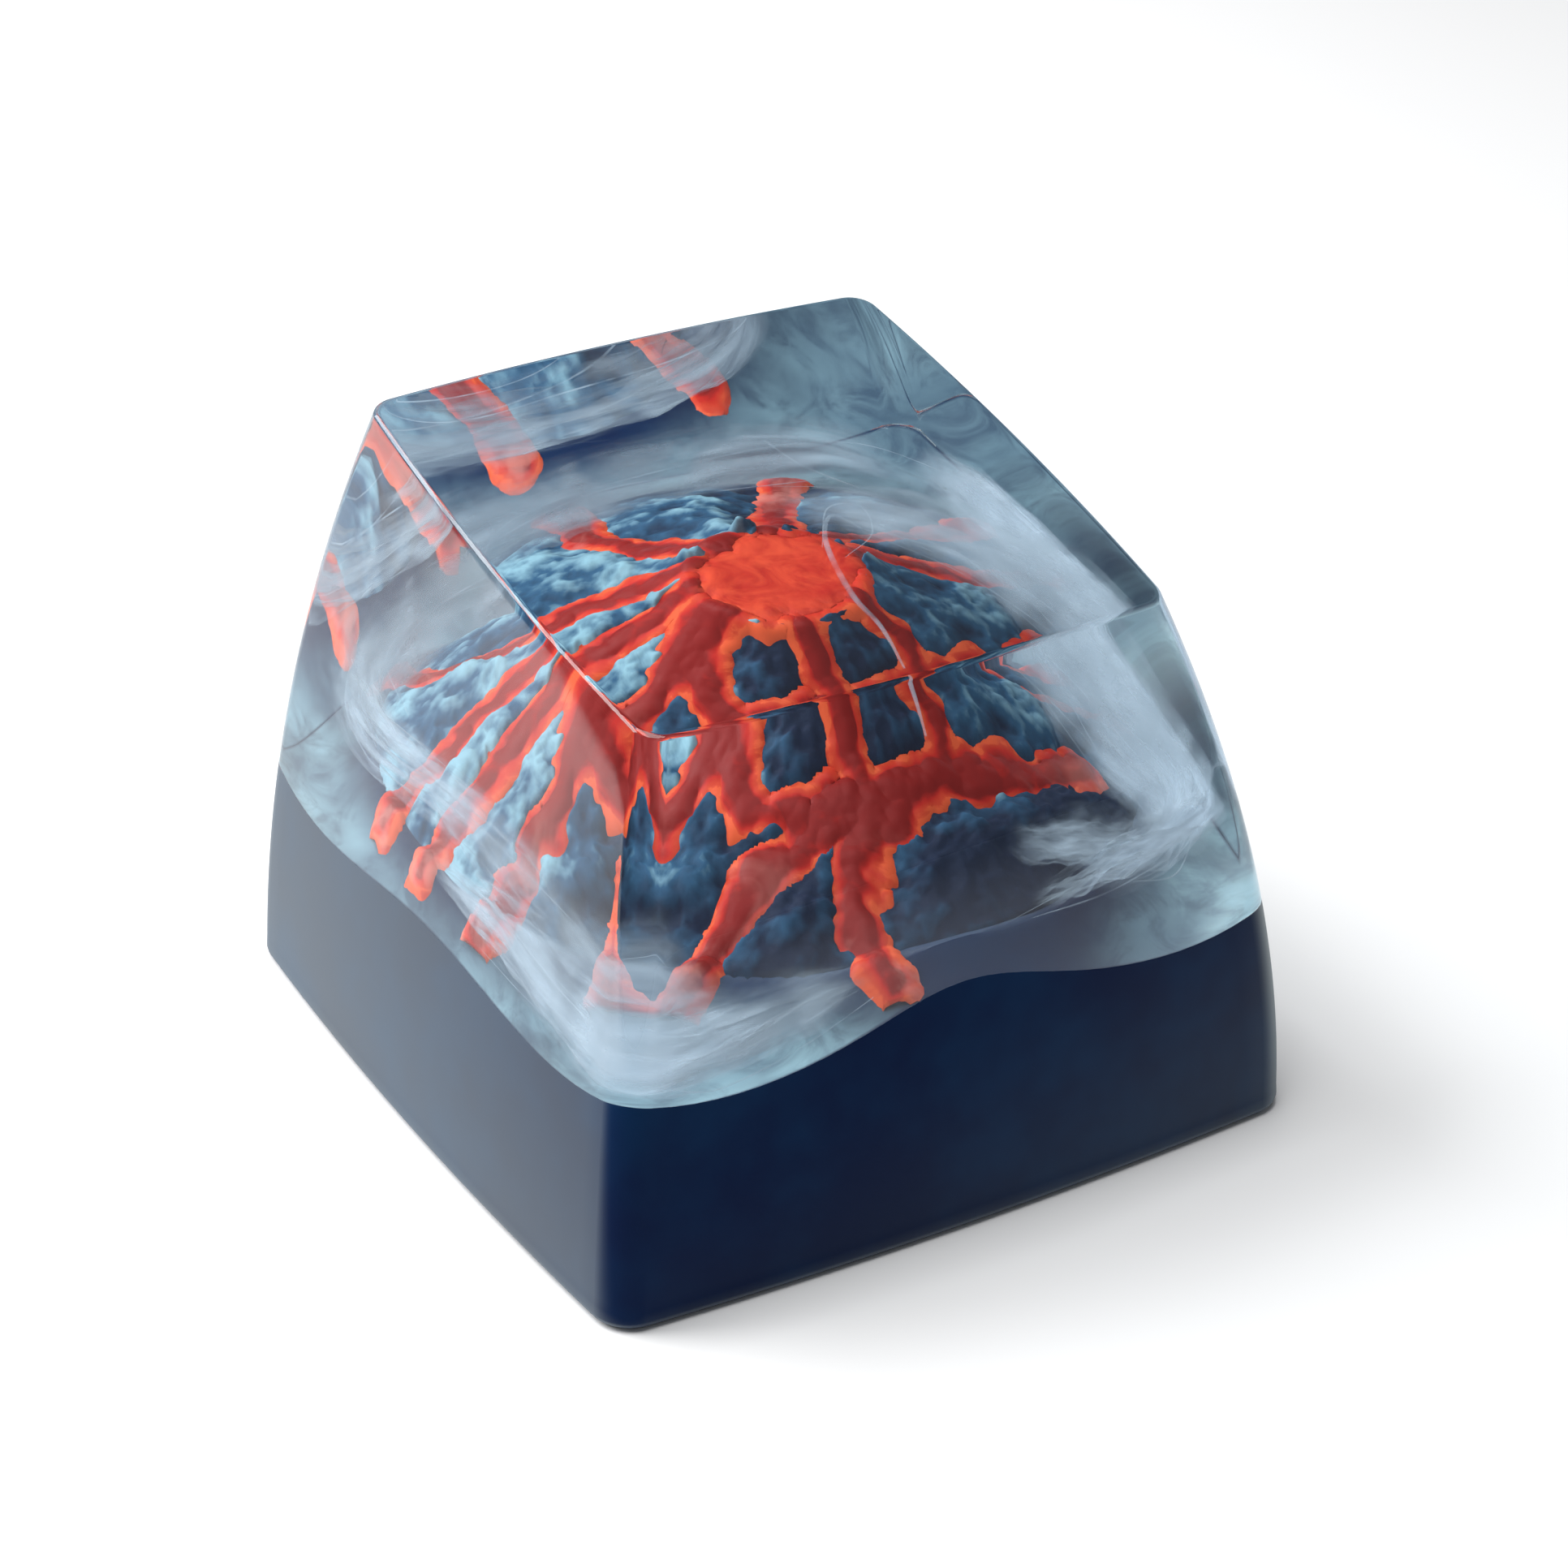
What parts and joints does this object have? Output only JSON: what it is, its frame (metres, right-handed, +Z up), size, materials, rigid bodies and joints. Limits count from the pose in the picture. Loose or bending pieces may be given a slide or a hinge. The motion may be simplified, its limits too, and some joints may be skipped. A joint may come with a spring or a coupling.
{
  "type": "artisan keycap",
  "caption": "Tall sculpted resin keycap with a clear top over a small volcano scene, a navy base, a hollow skirt and a cross socket for a key switch stem.",
  "frame": {"origin": "centre of the lower rim plane, on the axis of the stem post", "axes": "+Z up out of the key, -Y towards the typist, +X to the typist's right"},
  "size_m": [0.0184, 0.0184, 0.0148],
  "materials": {
    "navy_resin": "satin opaque casting resin, navy",
    "rock_resin": "rough slate-blue casting resin",
    "lava_resin": "red and orange pigment in casting resin",
    "clear_resin": "polished clear casting resin",
    "smoke_resin": "white pigment drawn through clear casting resin like smoke"
  },
  "bodies": {
    "root": {"base_shell": "navy_resin", "volcano_rock": "rock_resin", "lava": "lava_resin", "clear_dome": "clear_resin", "smoke_crescent": "smoke_resin", "smoke_corner": "smoke_resin", "smoke_back": "smoke_resin"}
  },
  "joints": []
}
